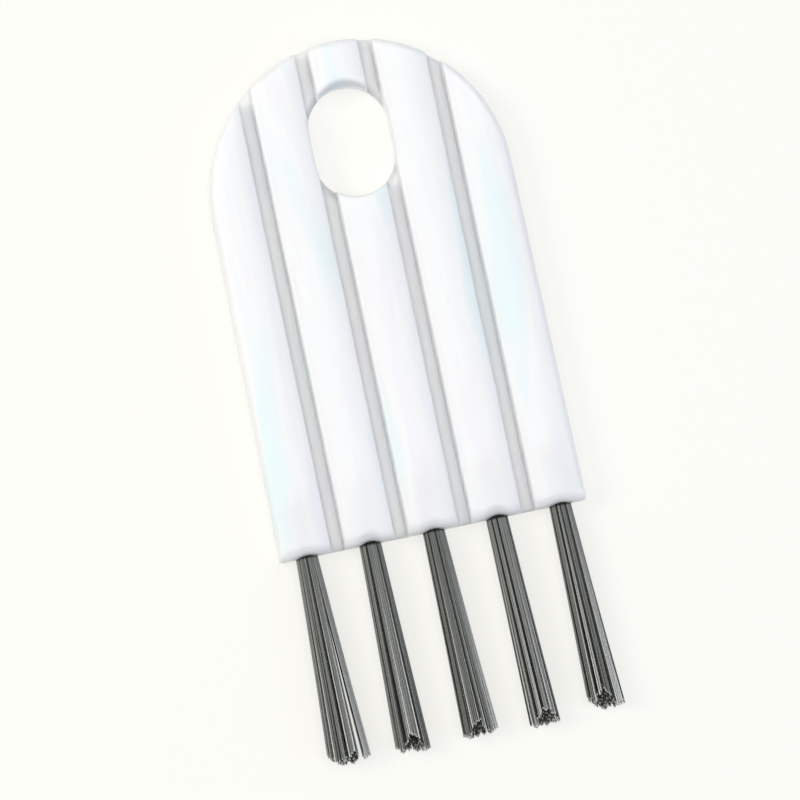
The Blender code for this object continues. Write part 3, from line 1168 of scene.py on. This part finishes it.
            # Next to the hole's mouth the tone is 0: painted shade.
            tone = root_tone + (tip_tone - root_tone) * share if share >= lit else 0.0
            stations.append(Station(place, tone))
        end = stations.pop()
        back = (stations[-1].place - end.place).normalized() * self.cut_height
        return [Station(end.place, end.tone, 1.0), Station(end.place + back, end.tone), *stations[::-1]]

    def fold(self, root: Vector) -> list[Station]:
        """Works out the way of a filament round its anchor.

        Args:
            root: Where its upper half stands in the tuft's root, from its axis.

        Returns:
            Its stations, from the upper half to the lower.
        """
        clear = self.anchor_half + self.filament
        radius = clear + root.y * (1 - clear / self.root_radius)
        depth = (self.fold_y - self.filament / 2 - self.fold_centre_y) / self.root_radius
        stations = []
        for step in range(self.fold_steps + 1):
            turn = QUARTER_TURN - pi * step / self.fold_steps
            y = self.fold_centre_y + cos(turn) * radius * depth
            place = Vector((self.axis_x + root.x, y, self.axis_z + sin(turn) * radius))
            stations.append(Station(place, self.plain_tones[0]))
        return stations

    def add_filament(self, bm: BMesh, stations: list[Station]) -> None:
        """Grows one filament from end to end.

        Args:
            bm: The tuft's mesh, which takes it.
            stations: The filament's stations.
        """
        hair = bmesh.new()
        layers = [hair.verts.layers.float.new(attribute.value) for attribute in Strand]
        direction = (stations[1].place - stations[0].place).normalized()
        tilt = direction.to_track_quat("Z", "Y").to_matrix().to_4x4()
        stand = Matrix.Translation(stations[0].place) @ tilt
        verts = bmesh.ops.create_circle(
            hair, segments=self.sides, radius=self.filament / 2 * self.burr_share, matrix=stand)["verts"]
        first = ring = list(dict.fromkeys(edge for vert in verts for edge in vert.link_edges))
        self.dye(verts, layers, stations[0])
        last = len(stations) - 1
        for step in range(1, last + 1):
            here = stations[step].place
            behind = stations[step - 1].place
            ahead = (stations[min(step + 1, last)].place - behind).normalized()
            ring = extend(hair, ring)
            verts = list(dict.fromkeys(vert for edge in ring for vert in edge.verts))
            turn = direction.rotation_difference(ahead).to_matrix()
            bmesh.ops.rotate(hair, cent=behind, matrix=turn, verts=verts)
            bmesh.ops.translate(hair, vec=here - behind, verts=verts)
            swell = {1: 1 / self.burr_share, last: self.burr_share}.get(step, 1.0)
            bmesh.ops.scale(hair, vec=(swell, swell, swell), space=Matrix.Translation(-here), verts=verts)
            self.dye(verts, layers, stations[step])
            direction = ahead
        for rim in (first, ring):
            bmesh.ops.edgeloop_fill(hair, edges=rim)
        grown = bpy.data.meshes.new("filament")
        hair.to_mesh(grown)
        hair.free()
        bm.from_mesh(grown)
        bpy.data.meshes.remove(grown)

    @staticmethod
    def dye(verts: list[BMVert], layers: list[BMLayerItem], station: Station) -> None:
        """Writes a station's tone and cut on its ring.

        Args:
            verts: The ring's vertices.
            layers: The layers of the tone and of the cut.
            station: The station.
        """
        for vert in verts:
            vert[layers[0]] = station.tone
            vert[layers[1]] = station.cut


@dataclass
class AnchorWires:
    """The flat wire anchors in the tufts' folds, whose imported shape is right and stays."""

    finish: RolledSteelWire
    count: int = 5

    def dress(self) -> None:
        """Gives every anchor its finish."""
        material = self.finish.make()
        for index in range(self.count):
            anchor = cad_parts[f"anchor_{index + 1}"]
            anchor.data.materials.clear()
            anchor.data.materials.append(material)
            log.info("%s: dressed", anchor.name)


@dataclass(frozen=True)
class Softbox:
    """A square soft light that faces the brush.

    Its azimuth and elevation are read like the camera's, and its level is the share of full white
    that it gives a level white surface.
    """

    name: str
    azimuth: float
    elevation: float
    distance: float
    size: float
    level: float
    colour: str

    def hang(self) -> None:
        """Adds the light to the scene."""
        lamp = bpy.data.lights.new(self.name, "AREA")
        lamp.size = self.size
        lamp.energy = self.level * (pi * self.distance) ** 2 / sin(self.elevation)
        lamp.color = linear(self.colour)[:3]
        item = bpy.data.objects.new(self.name, lamp)
        aim_from(item, Vector(), self.azimuth, self.elevation, self.distance)


def aim_from(item: Object, target: Vector, azimuth: float, elevation: float, distance: float) -> None:
    """Puts a lamp or camera in the scene, looking at a place.

    Args:
        item: The lamp or camera.
        target: The place that it looks at.
        azimuth: The direction that it looks along, from +Y towards -X.
        elevation: How far above the horizon it stands, as an angle.
        distance: How far away it stands.
    """
    back = Vector((
        sin(azimuth) * cos(elevation),
        -cos(azimuth) * cos(elevation),
        sin(elevation),
    ))
    item.location = target + back * distance
    item.rotation_mode = "QUATERNION"
    item.rotation_quaternion = (-back).to_track_quat("-Z", "Y")
    bpy.context.scene.collection.objects.link(item)


@dataclass
class Studio:
    """The plain pale floor, the soft light from the upper left, and the camera."""

    paper: StudioPaper
    floor_size: float = 6.0
    azimuth: float = radians(-60.1)
    elevation: float = radians(86.1)
    # The brush lies turned by this much in the frame, and the camera is rolled to match.
    picture_turn: float = radians(-11.8)
    lens: float = 420.0
    sensor: float = 36.0
    width_seen: float = 111.25 * MM
    clip_range: float = 10.0
    aim: tuple[float, float, float] = (-0.8 * MM, -0.75 * MM, 2.6 * MM)
    sky: str = "#F6F8FC"
    sky_level: float = 0.3
    # Each by name, azimuth, elevation, distance, size, level and colour.
    softboxes: tuple[Softbox, ...] = (
        Softbox("key", radians(-112), radians(46), 1.5, 0.7, 0.29, "#FFFCF4"),
        Softbox("overhead", radians(0), radians(90), 2.0, 1.4, 0.42, "#FFFFFE"),
        Softbox("right_fill", radians(72), radians(34), 1.5, 0.5, 0.11, "#C8DAFF"),
    )

    def build(self) -> None:
        """Makes the floor, the world, the lights and the camera."""
        self.lay_floor()
        self.light_sky()
        for softbox in self.softboxes:
            softbox.hang()
        self.place_camera()

    def lay_floor(self) -> None:
        """Lays the floor under the brush."""
        bm = bmesh.new()
        bmesh.ops.create_grid(bm, x_segments=1, y_segments=1, size=self.floor_size / 2)
        floor = loose_object("floor", bm)
        bm.free()
        floor.data.materials.append(self.paper.make())

    def light_sky(self) -> None:
        """Gives the world an even, faintly cool light."""
        world = bpy.data.worlds.new("studio_sky")
        world.use_nodes = True
        tree = world.node_tree
        tree.nodes.clear()
        sky = add_node(tree, "Background", {"Color": linear(self.sky), "Strength": self.sky_level})
        add_node(tree, "OutputWorld", {"Surface": sky})
        bpy.context.scene.world = world

    def place_camera(self) -> None:
        """Puts the camera at the photograph's angle, with a long lens."""
        lens = bpy.data.cameras.new("camera")
        lens.lens = self.lens
        lens.sensor_width = self.sensor
        distance = self.width_seen * self.lens / self.sensor
        lens.clip_start = distance / self.clip_range
        lens.clip_end = distance * self.clip_range
        camera = bpy.data.objects.new("camera", lens)
        aim_from(camera, Vector(self.aim), self.azimuth, self.elevation, distance)
        camera.rotation_quaternion @= Quaternion((0, 0, 1), self.picture_turn - self.azimuth)
        bpy.context.scene.camera = camera


TUFT_HABITS = (
    TuftHabit(
        notch_middle=0.6 * MM, notch_width=1.6 * MM, notch_depth=1.6 * MM,
        left_shorter=1.5 * MM, right_shorter=0.6 * MM,
        slit=(0.44, 0.68),
        streaks=(Streak(0.68, 1.1, 0.8),),
    ),
    TuftHabit(
        notch_middle=0.1 * MM, notch_width=2.8 * MM, notch_depth=2.3 * MM,
        left_shorter=0.7 * MM, right_shorter=0.0,
        streaks=(Streak(-0.16, -0.02, 0.95),),
    ),
    TuftHabit(
        notch_middle=-0.3 * MM, notch_width=2.2 * MM, notch_depth=2.1 * MM,
        left_shorter=0.4 * MM, right_shorter=0.7 * MM,
        streaks=(Streak(0.62, 1.1, 0.95),),
    ),
    TuftHabit(
        notch_middle=0.3 * MM, notch_width=3.2 * MM, notch_depth=2.3 * MM,
        left_shorter=0.8 * MM, right_shorter=0.5 * MM,
        slit=(-0.9, -0.74),
        streaks=(Streak(-1.1, -0.9, 0.1), Streak(-0.32, -0.18, 0.95)),
    ),
    TuftHabit(
        notch_middle=-0.2 * MM, notch_width=2.6 * MM, notch_depth=2.5 * MM,
        left_shorter=1.7 * MM, right_shorter=0.3 * MM,
        slit=(0.86, 0.94),
        streaks=(Streak(0.94, 1.1, 0.05), Streak(0.58, 0.86, 1.0)),
    ),
)


def set_view() -> None:
    """Shows colours as they are written."""
    bpy.context.scene.view_settings.view_transform = "Standard"


def main() -> None:
    """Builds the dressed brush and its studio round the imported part."""
    logging.basicConfig(level=logging.INFO)
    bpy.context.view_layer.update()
    set_view()
    HandlePlate(MouldedPolypropylene()).build()
    nylon = DrawnNylon().make()
    for index, habit in enumerate(TUFT_HABITS):
        BristleTuft(index, habit, nylon).build()
    AnchorWires(RolledSteelWire()).dress()
    Studio(StudioPaper()).build()


if __name__ == "__main__":
    main()
